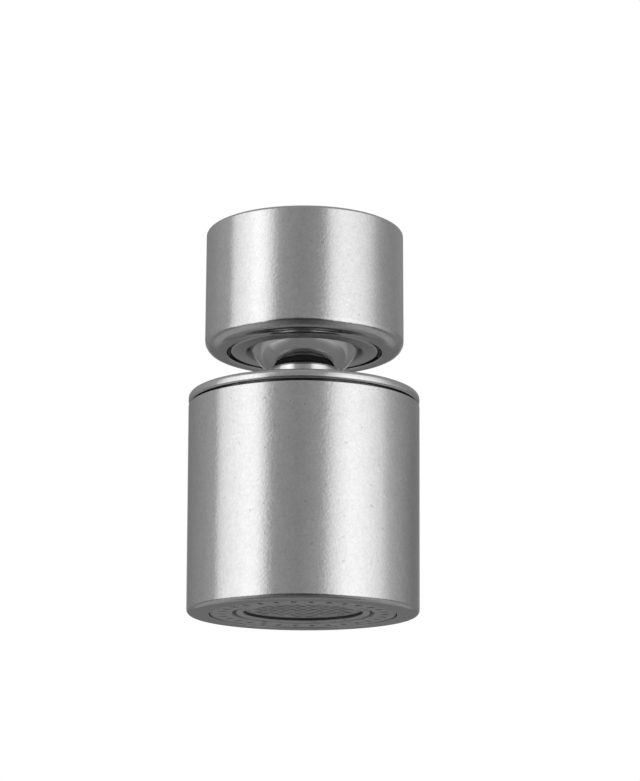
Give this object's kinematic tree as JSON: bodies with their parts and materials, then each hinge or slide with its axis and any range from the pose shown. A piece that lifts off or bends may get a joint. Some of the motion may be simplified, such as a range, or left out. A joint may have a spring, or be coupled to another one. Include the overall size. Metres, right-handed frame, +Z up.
{
  "type": "swivel tap aerator",
  "caption": "Satin metal tap aerator: a union nut holds a ball joint, and the spray head under it has a casing that slides down to change from an aerated jet to a spray.",
  "frame": {"origin": "centre of the flat outlet rim that the part stands on, on the common axis", "axes": "+Z up the common axis, out of the union nut's threaded mouth; +X is the axis that the ball joint tilts about, and the picture looks along +Y from a little below"},
  "size_m": [0.029, 0.029, 0.0488],
  "materials": {
    "satin_metal": "fine satin nickel plating over brass",
    "polished_metal": "polished plating over brass",
    "outlet_plastic": "dark grey moulded plastic, matt",
    "inner_plastic": "off-white acetal, matt",
    "aerator_plastic": "mid-grey moulded plastic, matt",
    "screen_steel": "stainless sheet and wire",
    "spring_steel": "plain spring steel",
    "seal_rubber": "black rubber, matt"
  },
  "bodies": {
    "root": {"tap_nut": "satin_metal", "ball_retaining_ring": "satin_metal", "inlet_washer": "seal_rubber", "inlet_screen": "screen_steel"},
    "swivel_ring": {"ball_seat_ring": "inner_plastic", "ball_seal": "seal_rubber", "seat_seal": "seal_rubber"},
    "ball_stem": {"ball_stem": "polished_metal", "stem_seal": "seal_rubber", "stem_clip": "spring_steel"},
    "head": {"top_cover": "satin_metal", "stem_washer": "inner_plastic", "core_body": "inner_plastic", "port_seal_upper": "seal_rubber", "port_seal_lower": "seal_rubber", "spray_chamber_seal": "seal_rubber", "aerator_housing": "outlet_plastic", "aerator_gasket": "seal_rubber", "aerator_filter": "aerator_plastic", "flow_regulator": "seal_rubber", "jet_breaker": "aerator_plastic", "mixing_ring": "aerator_plastic", "screen_upper": "screen_steel", "screen_spacer": "aerator_plastic", "screen_lower": "screen_steel", "honeycomb_outlet": "outlet_plastic"},
    "casing": {"outer_casing": "satin_metal", "diverter_sleeve": "inner_plastic", "sleeve_seal": "seal_rubber", "spray_plate": "outlet_plastic"}
  },
  "joints": [
    {"name": "swivel", "type": "hinge", "parent": "root", "child": "swivel_ring", "pos_m": [0, 0, 0.037], "axis": [0, 0, 1], "continuous": true},
    {"name": "tilt", "type": "hinge", "parent": "swivel_ring", "child": "ball_stem", "pos_m": [0, 0, 0.037], "axis": [1, 0, 0], "range_deg": [-25, 25]},
    {"name": "head_spin", "type": "hinge", "parent": "ball_stem", "child": "head", "pos_m": [0, 0, 0.037], "axis": [0, 0, 1], "continuous": true},
    {"name": "mode_slide", "type": "slide", "parent": "head", "child": "casing", "axis": [0, 0, -1], "range_m": [0, 0.0035]}
  ]
}
